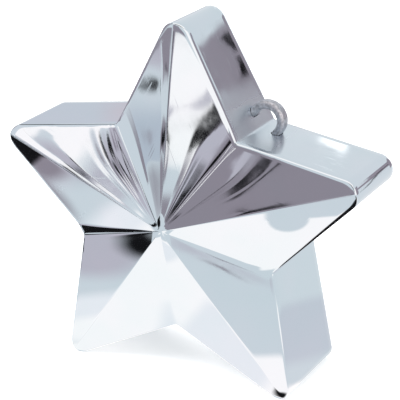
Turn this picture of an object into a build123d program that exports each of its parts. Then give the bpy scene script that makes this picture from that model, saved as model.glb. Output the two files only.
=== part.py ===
"""Star balloon weight: a faceted plated shell filled with sand, with a back cover, a filling plug
and a loop for the ribbon. Millimetres, +Z up, the faceted front faces -Y, and the star stands on
the rounded ends of its two lower points."""
from build123d import *
import os
from math import asin, atan, cos, degrees, hypot, radians, sin, tan

# Star outline, measured to the sharp corners that the roundings then trim
tip_radius = 56.0
notch_radius = 28.6
tip_rounding = 4.0
foot_rounding = 3.0
notch_rounding = 0.8
point_count = 5
foot_count = 2

# Front and back: the facets rise to the apex, and the back leans forward so the base is deepest
apex_height = 8.3
apex_flat_radius = 1.0
front_edge_rounding = 0.5
base_depth = 27.8
back_lean = 5.1

# Shell
wall = 1.8
rim_wall = 0.9

# Back cover, the glue bead under its edge, and the filling hole in its middle
cover_thickness = 2.4
cover_gap = 0.15
seal_thickness = 0.2
seal_edge_gap = 0.1
hole_radius = 6.0
hole_recess_radius = 7.6
hole_recess_depth = 1.2

# Filling plug: a flange in the recess and a hollow skirt with a snap bead behind the cover
plug_flange_thickness = 1.0
plug_flange_gap = 0.2
plug_skirt_gap = 0.1
plug_skirt_wall = 1.1
plug_skirt_length = 4.6
plug_bead_height = 0.35
plug_bead_length = 1.4
plug_bead_gap = 0.1

# Ribbon loop: an arch across the notch right of the top point, whose legs clip into slots. Its
# depth is taken from the back, and its rise from the notch
loop_inner_radius = 2.9
loop_band = 2.05
loop_width = 3.4
loop_rounding = 0.8
loop_rise = 3.1
loop_depth = 7.9
slot_gap = 0.1
barb_reach = 0.7
barb_height = 2.4
barb_gap = 0.1

# Sand: it keeps a little clear of every wall and ends in a level surface
fill_gap = 0.2
fill_height = 72.0

# One overrun serves all cuts
cut_overrun = 2.0

# Angles and reaches of the star, worked out from its corners
half_step = 360 / point_count / 2
top_angle = 90
edge_length = hypot(
    tip_radius - notch_radius * cos(radians(half_step)), notch_radius * sin(radians(half_step))
)
edge_reach = tip_radius * notch_radius * sin(radians(half_step)) / edge_length
tip_half_angle = degrees(asin(edge_reach / tip_radius))
notch_half_angle = half_step + tip_half_angle
facet_slope = atan(apex_height / edge_reach)

# Heights and depths: the lowest rounded ends stand at Z 0, and Y 0 is halfway through the depth
foot_arc_reach = tip_radius - foot_rounding / sin(radians(tip_half_angle))
centre_height = foot_arc_reach * cos(radians(half_step)) + foot_rounding
front_reach = apex_height - apex_flat_radius * tan(facet_slope)
outline_y = (front_reach - base_depth) / 2
lean = radians(back_lean)
full_depth = apex_height + base_depth + cut_overrun

# Planes: the star's front outline, the leaning back, and the levels under the cover
star_plane = Plane(origin=(0, outline_y, centre_height), x_dir=(1, 0, 0), z_dir=(0, -1, 0))
back_normal = (0, cos(lean), sin(lean))
back_plane = Plane(origin=(0, outline_y + base_depth, 0), x_dir=(1, 0, 0), z_dir=back_normal)
cover_inner_plane = back_plane.offset(-cover_thickness)
seat_plane = cover_inner_plane.offset(-seal_thickness)
hole_y = outline_y + base_depth - centre_height * tan(lean)
hole_plane = Plane(origin=(0, hole_y, centre_height), x_dir=(1, 0, 0), z_dir=back_normal)


def star_corners(share):
    """The star's tips and notches in turn, on an outline scaled by a share of the full one."""
    corners = []
    for step in range(2 * point_count):
        radius = notch_radius if step % 2 else tip_radius
        angle = radians(top_angle + half_step * step)
        corners.append((share * radius * cos(angle), share * radius * sin(angle)))
    return corners


def star_prism(inset):
    """A straight star block with rounded corners, inset from the outer outline, through all depths."""
    with BuildPart() as prism:
        with BuildSketch(star_plane.offset(apex_height)) as outline:
            Polygon(*star_corners(1 - inset / edge_reach), align=None)
            middle = Vertex(0, 0, 0)
            tips = outline.vertices().sort_by_distance(middle)[point_count:]
            fillet(tips.sort_by(Axis.Y)[:foot_count], max(foot_rounding - inset, notch_rounding))
            upper_tips = outline.vertices().sort_by_distance(middle)[foot_count - point_count:]
            fillet(upper_tips, max(tip_rounding - inset, notch_rounding))
            notches = outline.vertices().sort_by_distance(middle)[:point_count]
            fillet(notches, notch_rounding + inset)
        extrude(amount=-full_depth)
    return prism.part


def faceted_star(inset):
    """The star block with its ten sloped front facets, every face inset from the outer one."""
    apex_level = apex_height - inset / cos(facet_slope)
    skirt_level = inset + cut_overrun
    skirt_share = (apex_level + skirt_level) / apex_height
    rounded = star_prism(inset)
    with BuildPart() as block:
        with BuildSketch(star_plane.offset(-skirt_level)) as skirt:
            Polygon(*star_corners(skirt_share), align=None)
        loft([skirt.sketch, Vertex(*star_plane.from_local_coords((0, 0, apex_level)))], ruled=True)
        extrude(skirt.sketch, amount=-full_depth)
        add(rounded, mode=Mode.INTERSECT)
    return block.part


cavity = faceted_star(wall)
cover_block = star_prism(rim_wall + cover_gap)
cover_pocket = star_prism(rim_wall)
seal_inner_block = star_prism(wall - seal_edge_gap)
sand_block = faceted_star(wall + fill_gap)
outer_block = faceted_star(0)

# The loop's own plane: across the notch and out of it, at the loop's depth
notch_angle = radians(top_angle - half_step)
outward = Vector(cos(notch_angle), 0, sin(notch_angle))
across = Vector(sin(notch_angle), 0, -cos(notch_angle))
notch_height = centre_height + notch_radius * sin(notch_angle)
loop_y = outline_y + base_depth - notch_height * tan(lean) - loop_depth
notch_point = Vector(notch_radius * cos(notch_angle), loop_y, notch_height)
loop_plane = Plane(origin=notch_point, x_dir=across, z_dir=(0, -1, 0))
leg_plane = Plane(origin=notch_point, x_dir=across, z_dir=outward)
leg_centre = loop_inner_radius + loop_band / 2
leg_outer = loop_inner_radius + loop_band


def inner_wall_level(reach):
    """How far out of the notch the shell's inner wall lies, at a reach across from the middle."""
    notch_half = radians(notch_half_angle)
    return reach / tan(notch_half) - wall / sin(notch_half)


leg_end = inner_wall_level(loop_inner_radius) - barb_height

# Shell: faceted star, hollow, with a step inside its rim for the cover and two slots for the loop
with BuildPart() as front_shell:
    add(outer_block)
    split(bisect_by=star_plane.offset(front_reach), keep=Keep.BOTTOM)
    tip_rise = tip_rounding / sin(radians(tip_half_angle)) * apex_height / tip_radius
    front_edges = front_shell.edges().filter_by_position(
        Axis.Y, outline_y - tip_rise, outline_y + notch_rounding
    )
    fillet(front_edges, front_edge_rounding)
    add(cavity, mode=Mode.SUBTRACT)
    split(bisect_by=back_plane, keep=Keep.BOTTOM)
    add(split(cover_pocket, bisect_by=seat_plane, keep=Keep.TOP, mode=Mode.PRIVATE), mode=Mode.SUBTRACT)
    with BuildSketch(leg_plane.offset(leg_end)):
        with Locations((-leg_centre, 0), (leg_centre, 0)):
            RectangleRounded(loop_band + 2 * slot_gap, loop_width + 2 * slot_gap, loop_rounding + slot_gap)
    extrude(amount=loop_rise + leg_outer - leg_end, mode=Mode.SUBTRACT)
front_shell.part.label = "front_shell"

# Cover: star plate in the rim's step, flush with the rim, with a recessed filling hole
with BuildPart() as back_cover:
    add(cover_block)
    split(bisect_by=back_plane, keep=Keep.BOTTOM)
    split(bisect_by=cover_inner_plane, keep=Keep.TOP)
    with Locations(hole_plane):
        CounterBoreHole(hole_radius, hole_recess_radius, hole_recess_depth)
back_cover.part.label = "back_cover"

# Seal: the glue bead on the step, between the shell and the cover
with BuildPart() as cover_seal:
    add(cover_block)
    split(bisect_by=cover_inner_plane, keep=Keep.BOTTOM)
    split(bisect_by=seat_plane, keep=Keep.TOP)
    add(seal_inner_block, mode=Mode.SUBTRACT)
cover_seal.part.label = "cover_seal"

# Plug: revolved flange and hollow skirt, with the snap bead just behind the cover
plug_axis_plane = Plane(origin=hole_plane.origin, x_dir=hole_plane.x_dir, z_dir=-hole_plane.y_dir)
flange_radius = hole_recess_radius - plug_flange_gap
skirt_radius = hole_radius - plug_skirt_gap
skirt_inner_radius = skirt_radius - plug_skirt_wall
flange_top = plug_flange_thickness - hole_recess_depth
skirt_end = -hole_recess_depth - plug_skirt_length
bead_top = -cover_thickness - plug_bead_gap
bead_middle = bead_top - plug_bead_height
bead_radius = hole_radius + plug_bead_height
with BuildPart() as fill_plug:
    with BuildSketch(plug_axis_plane):
        with BuildLine():
            Polyline(
                (0, -hole_recess_depth),
                (0, flange_top),
                (flange_radius, flange_top),
                (flange_radius, -hole_recess_depth),
                (skirt_radius, -hole_recess_depth),
                (skirt_radius, bead_top),
                (bead_radius, bead_middle),
                (skirt_radius, bead_top - plug_bead_length),
                (skirt_radius, skirt_end),
                (skirt_inner_radius, skirt_end),
                (skirt_inner_radius, -hole_recess_depth),
                close=True,
            )
        make_face()
    revolve(axis=Axis(hole_plane.origin, hole_plane.z_dir))
fill_plug.part.label = "fill_plug"

# Loop: a rounded band swept over the arch, with a barb on the outer side of each leg
with BuildPart() as ribbon_loop:
    with BuildLine(loop_plane) as arch:
        Line((-leg_centre, leg_end), (-leg_centre, loop_rise))
        CenterArc((0, loop_rise), leg_centre, 180, -180)
        Line((leg_centre, loop_rise), (leg_centre, leg_end))
    with BuildSketch(leg_plane.offset(leg_end)):
        with Locations((-leg_centre, 0)):
            RectangleRounded(loop_band, loop_width, loop_rounding)
    sweep(path=arch.wire())
    with BuildSketch(loop_plane) as barbs:
        Polygon(
            (leg_centre, inner_wall_level(leg_centre) - barb_gap),
            (leg_outer + barb_reach, inner_wall_level(leg_outer + barb_reach) - barb_gap),
            (leg_outer, leg_end),
            (leg_centre, leg_end),
            align=None,
        )
        mirror(about=Plane.YZ)
    extrude(amount=loop_width / 2 - loop_rounding, both=True)
ribbon_loop.part.label = "ribbon_loop"

# Sand: fills the shell up to its level surface, round the plug's skirt and the loop's legs
with BuildPart() as sand_fill:
    add(sand_block)
    split(bisect_by=cover_inner_plane.offset(-fill_gap), keep=Keep.BOTTOM)
    split(bisect_by=Plane.XY.offset(fill_height), keep=Keep.BOTTOM)
    with BuildSketch(hole_plane):
        Circle(bead_radius + fill_gap)
    extrude(amount=skirt_end - fill_gap, mode=Mode.SUBTRACT)
    with BuildSketch(leg_plane.offset(leg_end - fill_gap)):
        Rectangle(2 * (leg_outer + barb_reach + fill_gap), loop_width + 2 * fill_gap)
    extrude(amount=loop_rise + leg_outer, mode=Mode.SUBTRACT)
sand_fill.part.label = "sand_fill"

os.makedirs("parts", exist_ok=True)
for piece in (front_shell, back_cover, cover_seal, fill_plug, ribbon_loop, sand_fill):
    export_step(piece.part, f"parts/{piece.part.label}.step")
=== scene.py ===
"""Star balloon weight: a mirror-plated star shell, its ribbon loop, back cover and filling plug.

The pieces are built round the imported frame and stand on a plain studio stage. Metres, +Z up, and
the faceted front faces -Y."""
from math import asin, atan2, cos, degrees, hypot, pi, radians, sin, sqrt, tan

import bmesh
import bpy
from bpy.props import FloatProperty, FloatVectorProperty, PointerProperty
from mathutils import Matrix, Vector, noise


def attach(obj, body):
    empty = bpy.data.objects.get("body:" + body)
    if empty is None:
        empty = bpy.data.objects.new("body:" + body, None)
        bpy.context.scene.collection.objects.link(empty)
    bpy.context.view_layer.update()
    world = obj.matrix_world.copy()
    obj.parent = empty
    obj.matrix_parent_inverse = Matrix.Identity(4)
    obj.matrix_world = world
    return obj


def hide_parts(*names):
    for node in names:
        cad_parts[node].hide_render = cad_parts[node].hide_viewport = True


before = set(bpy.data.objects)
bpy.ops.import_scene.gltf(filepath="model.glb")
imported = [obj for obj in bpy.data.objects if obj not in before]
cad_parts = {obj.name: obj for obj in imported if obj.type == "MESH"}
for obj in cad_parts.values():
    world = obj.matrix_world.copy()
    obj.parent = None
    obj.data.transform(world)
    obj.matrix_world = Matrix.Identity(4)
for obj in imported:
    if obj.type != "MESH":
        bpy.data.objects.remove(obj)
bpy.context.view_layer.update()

bl_info = {
    "name": "Star balloon weight",
    "version": (1, 0, 0),
    "blender": (4, 5, 0),
    "location": "View3D > Sidebar > Weight",
    "description": "Builds the plated star weight, its loop, cover and plug, and a studio stage",
    "category": "Add Mesh",
}

BODY = "root"
POINTS = 5
TOP = pi / 2
HALF_STEP = pi / POINTS
MID_ARC = 1 - cos(pi / 4)
ROUND_STEPS = 72
SMOOTH_ANGLE = radians(35)


def length(name, default, description):
    """A size in metres that a user can change."""
    return FloatProperty(
        name=name, description=description, default=default, unit="LENGTH", precision=5
    )


def slant(name, default, description):
    """An angle that a user can change, with its default in degrees."""
    return FloatProperty(
        name=name, description=description, default=radians(default), unit="ROTATION"
    )


def colour(name, default, description):
    """A colour that a user can change."""
    return FloatVectorProperty(
        name=name, description=description, default=default, subtype="COLOR", size=3,
        min=0.0, soft_max=1.0,
    )


class StarSizes(bpy.types.PropertyGroup):
    """Outline, depth and walls of the star shell."""

    tip_radius: length("Tip radius", 0.056, "From the middle to a point's sharp corner")
    notch_radius: length("Notch radius", 0.0286, "From the middle to a notch's sharp corner")
    tip_rounding: length("Tip rounding", 0.004, "Radius of the three upper points")
    foot_rounding: length("Foot rounding", 0.003, "Radius of the two lower points")
    notch_rounding: length("Notch rounding", 0.0008, "Radius in the notches")
    apex_height: length("Apex height", 0.0083, "How far the facets rise in front of the outline")
    apex_flat: length("Apex flat", 0.001, "Reach of the blunt spot at the apex")
    edge_rounding: length("Edge rounding", 0.0005, "Radius between the facets and the walls")
    base_depth: length("Base depth", 0.0278, "Depth of the walls at the bottom")
    back_lean: slant("Back lean", 5.1, "How far the back leans forward")
    wall: length("Wall", 0.0018, "Thickness of the shell")
    rim_wall: length("Rim wall", 0.0009, "Thickness of the rim round the cover")
    rim_softness: length("Rim softness", 0.0002, "Radius of the back rim's edges")
    valley_softness: slant("Valley softness", 2.2, "Angle over which a valley is rounded")
    ridge_softness: slant("Ridge softness", 0.2, "Angle over which a point's ridge is rounded")
    warp: length("Warp", 0.00003, "Height of the slow waves in the facets and walls")


class CoverSizes(bpy.types.PropertyGroup):
    """The cover in the back of the shell and the plug in its filling hole."""

    thickness: length("Thickness", 0.0024, "Thickness of the cover")
    gap: length("Gap", 0.00015, "Clearance between the cover and the rim")
    seal: length("Seal", 0.0002, "Thickness of the glue under the cover")
    edge: length("Edge", 0.0002, "Softened edge of the cover and the plug")
    hole_radius: length("Hole radius", 0.006, "Radius of the filling hole")
    recess_radius: length("Recess radius", 0.0076, "Radius of the recess round the hole")
    recess_depth: length("Recess depth", 0.0012, "Depth of the recess")
    flange_thickness: length("Flange thickness", 0.001, "Thickness of the plug's flange")
    flange_gap: length("Flange gap", 0.0002, "Clearance round the plug's flange")
    skirt_gap: length("Skirt gap", 0.0001, "Clearance round the plug's skirt")
    skirt_wall: length("Skirt wall", 0.0011, "Thickness of the plug's skirt")
    skirt_length: length("Skirt length", 0.0046, "How far the skirt reaches in")
    bead_height: length("Bead height", 0.00035, "How far the snap bead stands out past the hole")
    bead_length: length("Bead length", 0.0014, "Length of the snap bead along the skirt")
    bead_gap: length("Bead gap", 0.0001, "Clearance between the snap bead and the cover")


class LoopSizes(bpy.types.PropertyGroup):
    """The ribbon loop across the notch right of the top point."""

    inner_radius: length("Inner radius", 0.0029, "Radius inside the arch")
    band: length("Band", 0.00205, "Thickness of the band")
    width: length("Width", 0.0034, "Width of the band from front to back")
    rounding: length("Rounding", 0.0008, "Radius of the band's edges")
    rise: length("Rise", 0.0031, "How far out of the notch the arch starts")
    depth: length("Depth", 0.0079, "From the back face to the middle of the band")
    slot_gap: length("Slot gap", 0.0001, "Clearance of the legs in the shell's slots")
    barb_reach: length("Barb reach", 0.0007, "How far a barb stands out behind the wall")
    barb_height: length("Barb height", 0.0024, "How far the legs reach in behind the wall")
    barb_gap: length("Barb gap", 0.0001, "Clearance between a barb and the wall")


class Finishes(bpy.types.PropertyGroup):
    """Colours of the finishes."""

    plating: colour("Plating", (0.55, 0.64, 0.70), "Mirror plating on the shell")
    plating_haze: colour("Plating haze", (0.58, 0.645, 0.712), "Faint lilac tint in the plating")
    loop_plating: colour("Loop plating", (0.29, 0.31, 0.35), "Duller plating on the loop")
    loop_haze: colour("Loop haze", (0.49, 0.52, 0.58), "Pale mottling on the loop")
    cover: colour("Cover", (0.36, 0.37, 0.40), "Silver-grey plastic of the back cover")
    plug: colour("Plug", (0.72, 0.72, 0.70), "Natural white plastic of the plug")
    glue: colour("Glue", (0.60, 0.57, 0.45), "Clear-amber glue bead")
    sand: colour("Sand", (0.48, 0.34, 0.18), "Dry sand")


class StageSettings(bpy.types.PropertyGroup):
    """Camera and light."""

    azimuth: slant("Azimuth", 27.701, "Camera's turn to the right of the front")
    elevation: slant("Elevation", 20.883, "Camera's height angle")
    distance: length("Distance", 0.42823, "Camera to the point that it looks at")
    target: FloatVectorProperty(
        name="Target", description="Point that the camera looks at",
        default=(0.000504, 0.002295, 0.044544), subtype="TRANSLATION", size=3,
    )
    lens: FloatProperty(name="Lens", description="Focal length in millimetres", default=150.0)
    white: colour("White card", (1.62, 1.45, 1.36), "Bright softbox that the plating mirrors")
    glare: colour("Glare", (2.4, 2.25, 2.15), "Window behind the star")
    shade: colour("Shade card", (1.36, 1.27, 1.24), "Softbox seen through a second diffuser")
    pale: colour("Pale cards", (1.0, 1.0, 1.0), "Cards as bright as the backdrop")
    haze: colour("Haze card", (0.89, 0.865, 0.90), "Pale lilac card, near the backdrop's tone")
    mist: colour("Mist card", (0.76, 0.77, 0.825), "Pale grey card, a little darker than the backdrop")
    lilac: colour("Lilac card", (0.80, 0.71, 0.76), "Grey card")
    dark: colour("Dark card", (0.44, 0.367, 0.404), "Dark studio behind the camera")
    # Black is also the tone of the painted shadow and painted shade cards that the plating mirrors.
    black: colour("Black flag", (0.012, 0.011, 0.012), "Black flag")


class Star:
    """Working lengths and surfaces of the star, from its sizes. Points on the outline have a
    sideways place u and an upward place v from the middle, and depths run back from the outline."""

    def __init__(self, sizes):
        self.sizes = sizes
        tip, notch = sizes.tip_radius, sizes.notch_radius
        self.edge = hypot(tip - notch * cos(HALF_STEP), notch * sin(HALF_STEP))
        self.reach = tip * notch * sin(HALF_STEP) / self.edge
        self.tip_half = asin(self.reach / tip)
        self.notch_half = HALF_STEP + self.tip_half
        self.normal_angle = pi / 2 - self.tip_half
        self.slope = sizes.apex_height / self.reach
        foot_arc = tip - sizes.foot_rounding / sin(self.tip_half)
        self.centre_height = foot_arc * cos(HALF_STEP) + sizes.foot_rounding
        front = sizes.apex_height - sizes.apex_flat * self.slope
        self.front_depth = -front
        self.outline_y = (front - sizes.base_depth) / 2

    def point(self, u, v, depth):
        """The place in the part's frame of a point on the star."""
        return Vector((u, self.outline_y + depth, self.centre_height + v))

    def nearest_tip(self, u, v):
        """The angle of the nearest point of the star, and the signed angle from it."""
        step = round((atan2(v, u) - TOP) / (2 * HALF_STEP))
        tip_angle = TOP + step * 2 * HALF_STEP
        turn = atan2(v, u) - tip_angle
        return tip_angle, atan2(sin(turn), cos(turn))

    def rounding(self, tip_angle):
        """The radius at a point of the star: the two lower ones are its feet."""
        is_foot = sin(tip_angle) < -cos(HALF_STEP) / 2
        return self.sizes.foot_rounding if is_foot else self.sizes.tip_rounding

    def outline_fit(self, u, v):
        """The true place on the rounded outline, and the outward direction there."""
        tip_angle, turn = self.nearest_tip(u, v)
        side = 1 if turn >= 0 else -1
        radius = hypot(u, v)
        along, across = radius * cos(turn), radius * abs(sin(turn))
        rounding = self.rounding(tip_angle)
        notch_rounding = self.sizes.notch_rounding
        run = (self.sizes.tip_radius - along) * cos(self.tip_half) + across * sin(self.tip_half)
        slack = rounding * 1e-4
        if run < rounding / tan(self.tip_half) - slack:
            middle = self.sizes.tip_radius - rounding / sin(self.tip_half)
            out = Vector((along - middle, across)).normalized()
            along, across = middle + rounding * out.x, rounding * out.y
        elif run > self.edge - notch_rounding / tan(self.notch_half) + slack:
            middle = self.sizes.notch_radius + notch_rounding / sin(self.notch_half)
            middle_along, middle_across = middle * cos(HALF_STEP), middle * sin(HALF_STEP)
            out = Vector((middle_along - along, middle_across - across)).normalized()
            along = middle_along - notch_rounding * out.x
            across = middle_across - notch_rounding * out.y
        else:
            out = Vector((sin(self.tip_half), cos(self.tip_half)))
        turned = Matrix.Rotation(tip_angle, 2)
        place = turned @ Vector((along, side * across))
        outward = turned @ Vector((out.x, side * out.y))
        return place, outward

    def facet_depth(self, u, v):
        """Depth of the ten front facets, whose ridges and valleys run to the apex."""
        radius = hypot(u, v)
        turn = hypot(self.nearest_tip(u, v)[1], self.sizes.ridge_softness)
        to_valley = HALF_STEP - turn
        softened = sqrt(to_valley ** 2 + self.sizes.valley_softness ** 2)
        rise = radius * self.slope * cos(HALF_STEP - softened - self.normal_angle)
        return max(rise - self.sizes.apex_height, self.front_depth)

    def back_depth(self, v, inward=0.0):
        """Depth of the leaning back at a height, or of a level parallel to it further in."""
        lean = self.sizes.back_lean
        return self.sizes.base_depth - (self.centre_height + v) * tan(lean) - inward / cos(lean)


def smooth_step(value):
    """Eases from 0 to 1."""
    value = min(max(value, 0.0), 1.0)
    return value * value * (3 - 2 * value)


class FlowLines:
    """The uneven slope of a facet beside a valley, as the moulding shows it: tilts in degrees at
    angles in degrees from the valley. Lines of one tilt run out from the apex, and near the rim
    they bend towards the valley by the given angle, but not close to the valley or the ridge."""

    STEPS = 144
    LEVELS = 10
    VALLEY_CALM = 6
    RIDGE_CALM = 12

    def __init__(self, tilts, bend=0.0):
        shares = [level / self.LEVELS for level in range(self.LEVELS + 1)]
        self.levels = [self.integrate(tilts, bend * share ** 2) for share in shares]

    def integrate(self, tilts, shift):
        """Heights per radius at even angles from the valley, none at the valley and the ridge."""
        span = degrees(HALF_STEP)
        slopes = []
        for step in range(self.STEPS + 1):
            angle = step * span / self.STEPS
            from_valley = smooth_step(angle / self.VALLEY_CALM)
            from_ridge = smooth_step((span - angle) / self.RIDGE_CALM)
            tilt = self.tilt(tilts, angle + shift * from_valley * from_ridge)
            slopes.append(tan(radians(tilt)))
        mean = sum(slopes) / len(slopes)
        heights = [0.0]
        for slope in reversed(slopes[1:]):
            heights.append(heights[-1] + (slope - mean) * HALF_STEP / self.STEPS)
        return heights[::-1]

    @staticmethod
    def tilt(tilts, angle):
        """The tilt at an angle, eased between the given ones."""
        for (start, low), (end, high) in zip(tilts, tilts[1:]):
            if start <= angle <= end:
                return low + (high - low) * smooth_step((angle - start) / (end - start))
        return tilts[-1][1]

    def height(self, angle, nearness):
        """The height per radius at an angle from the valley and a nearness to the rim."""
        spot = min(max(angle / HALF_STEP, 0.0), 1.0) * self.STEPS
        level = min(max(nearness, 0.0), 1.0) * self.LEVELS
        index, row = min(int(spot), self.STEPS - 1), min(int(level), self.LEVELS - 1)
        ends = []
        for heights in self.levels[row:row + 2]:
            ends.append(heights[index] + (heights[index + 1] - heights[index]) * (spot - index))
        return ends[0] + (ends[1] - ends[0]) * (level - row)


# Flow lines by the angle of a facet's point and the facet's side of it, 1 for anticlockwise
FLOW = {
    (90, -1): FlowLines((
        (0, 7), (3.5, 7), (5.5, 5), (12, 5), (12.7, 4.1), (13.4, 5), (15, 5), (17, 3), (18.5, 1.8),
        (21, 1.4), (24, 0), (36, 0),
    ), 9.0),
    (18, 1): FlowLines((
        (0, 3.5), (2, 5), (4, 5.2), (6, 6.2), (10, 6.2), (12.5, 4.6), (14, 3.5), (16, 3.5),
        (17.5, 1.2), (21, 1), (22, 3), (23, 0.8), (26, 0), (36, 0),
    ), 6.0),
    (162, -1): FlowLines((
        (0, 2), (1.5, 0.3), (3, 3), (4.5, 0.5), (6, 3.2), (8, 5), (10, 3.4), (12, 1.9), (14, 3.4),
        (16.5, 1.9), (19, 0), (22, 1.2), (25, 0.3), (30.5, 0), (31.5, 1.9), (33.5, 1.9), (34.3, 0),
        (36, 0),
    ), 7.0),
    (90, 1): FlowLines((
        (0, 4), (7, 3.6), (9.5, 3), (11, 2), (13, 2), (15, 0.6), (18, 0.3), (24, 0), (31.5, 0),
        (33.5, -3), (36, -3),
    ), 3.0),
    (162, 1): FlowLines(((0, 20), (4.6, 20), (6.2, 0), (36, 0))),
}


# Facets: length of the slow waves and the slice of noise they come from, length and angle of the flow
# lines' drift, the calm round the apex and at both edges, and the share of the way to the rim at which
# flow lines start to bend
SLOW_WAVE = 0.016
SLOW_SLICE = 0.4
DRIFT_WAVE = 0.012
DRIFT_ANGLE = radians(1.2)
APEX_CALM = 0.006
EDGE_CALM = radians(3)
BEND_START = 0.45

# Walls: length of the waves, their height as a share of the warp and the calm share of the depth at
# each end, then how strong the haze in the loop's notch is, how far it reaches and where it fades
WALL_WAVE = 0.014
WALL_WARP = 0.6
WALL_CALM = 0.1
HAZE = 0.28
HAZE_REACH = 0.005
HAZE_FADE = 0.010


def facet_waves(star, u, v):
    """The moulding's own unevenness in the facets: slow waves, and flow lines beside some valleys."""
    radius = hypot(u, v)
    tip_angle, turn = star.nearest_tip(u, v)
    wave = star.sizes.warp * noise.noise(Vector((u, v, SLOW_SLICE)) / SLOW_WAVE)
    slow = wave * smooth_step(radius / APEX_CALM)
    lines = FLOW.get((round(degrees(tip_angle)) % 360, 1 if turn >= 0 else -1))
    if not lines:
        return slow
    drift = DRIFT_ANGLE * noise.noise(Vector((u, v, 0)) / DRIFT_WAVE)
    to_valley = HALF_STEP - abs(turn)
    calm = smooth_step(to_valley / EDGE_CALM) * smooth_step((HALF_STEP - to_valley) / EDGE_CALM)
    to_rim = radius * cos(abs(turn) - star.normal_angle) / star.reach
    nearness = (to_rim - BEND_START) / (1 - BEND_START)
    return slow - radius * lines.height(to_valley + drift * calm, nearness)


def wall_waves(star, place, depth):
    """Slow waves in the walls, always inward."""
    spot = Vector((place.x, place.y, depth)) / WALL_WAVE
    return star.sizes.warp * WALL_WARP * (1 + noise.noise(spot)) / 2


def notch_haze(star, place):
    """How hazy the plating is at a place on the outline: it is thin in the notch with the loop."""
    notch = star.sizes.notch_radius * Vector((cos(TOP - HALF_STEP), sin(TOP - HALF_STEP), 0))
    return HAZE * (1 - smooth_step(((place - notch).length - HAZE_REACH) / HAZE_FADE))


def new_piece(name, bm, finish, smooth_angle=SMOOTH_ANGLE):
    """Makes a piece from a finished bmesh, smooth apart from its corners, and rides it."""
    mesh = bpy.data.meshes.new(name)
    bm.to_mesh(mesh)
    bm.free()
    mesh.materials.append(finish)
    mesh.polygons.foreach_set("use_smooth", [True] * len(mesh.polygons))
    mesh.set_sharp_from_angle(angle=smooth_angle)
    piece = bpy.data.objects.new(name, mesh)
    bpy.context.scene.collection.objects.link(piece)
    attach(piece, BODY)
    return piece


def verts_of(geometry):
    """The vertices among the parts that an operator returns."""
    return [part for part in geometry if isinstance(part, bmesh.types.BMVert)]


def edges_of(geometry):
    """The edges among the parts that an operator returns."""
    return [part for part in geometry if isinstance(part, bmesh.types.BMEdge)]


def ring_verts(ring):
    """The vertices of a ring of edges, each once."""
    return list(dict.fromkeys(vert for edge in ring for vert in edge.verts))


def add_rings(bm, ring, place, steps):
    """Extrudes a ring of edges once for each step, and puts the new vertices in their places."""
    for step in steps:
        made = bmesh.ops.extrude_edge_only(bm, edges=ring)["geom"]
        for vert in verts_of(made):
            vert.co = place(vert, step)
        ring = edges_of(made)
    return ring


def even_shares(count):
    """Even shares up to 1."""
    return [step / count for step in range(1, count + 1)]


class StarOutline:
    """The rounded star, drawn as a flat ring of edges. Two layers keep each vertex's place on the
    outline and its outward direction, and every vertex that is extruded from it has them too."""

    def __init__(self, bm, star, cuts, tip_segments, notch_segments):
        self.star = star
        self.home = bm.verts.layers.float_vector.new("home")
        self.outward = bm.verts.layers.float_vector.new("outward")
        made = bmesh.ops.create_circle(
            bm, cap_ends=True, segments=2 * POINTS, radius=star.sizes.tip_radius
        )
        groups = {}
        for vert in made["verts"]:
            tip_angle, turn = star.nearest_tip(vert.co.x, vert.co.y)
            if abs(turn) > HALF_STEP / 2:
                vert.co *= star.sizes.notch_radius / star.sizes.tip_radius
                run = star.sizes.notch_rounding / tan(star.notch_half)
                groups.setdefault((run, notch_segments), []).append(vert)
            else:
                run = star.rounding(tip_angle) / tan(star.tip_half)
                groups.setdefault((run, tip_segments), []).append(vert)
        for (run, segments), corners in groups.items():
            bmesh.ops.bevel(
                bm, geom=corners, offset=run, offset_type="OFFSET", segments=segments, profile=0.5,
                affect="VERTICES", material=-1, clamp_overlap=False,
            )
        bmesh.ops.delete(bm, geom=bm.faces[:], context="FACES_ONLY")
        straight = [edge for edge in bm.edges if edge.calc_length() > star.edge / 2]
        bmesh.ops.subdivide_edges(bm, edges=straight, cuts=cuts)
        for vert in bm.verts:
            place, out = star.outline_fit(vert.co.x, vert.co.y)
            vert[self.home] = (place.x, place.y, 0)
            vert[self.outward] = (out.x, out.y, 0)
        self.ring = bm.edges[:]

    def inset(self, vert, inset):
        """A vertex's place on the outline, moved in."""
        return vert[self.home] - inset * vert[self.outward]

    def behind(self, vert, step):
        """A place at an inset from the outline and a level further in than the leaning back."""
        inset, inward = step
        place = self.inset(vert, inset)
        return self.star.point(place.x, place.y, self.star.back_depth(place.y, inward))


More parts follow.
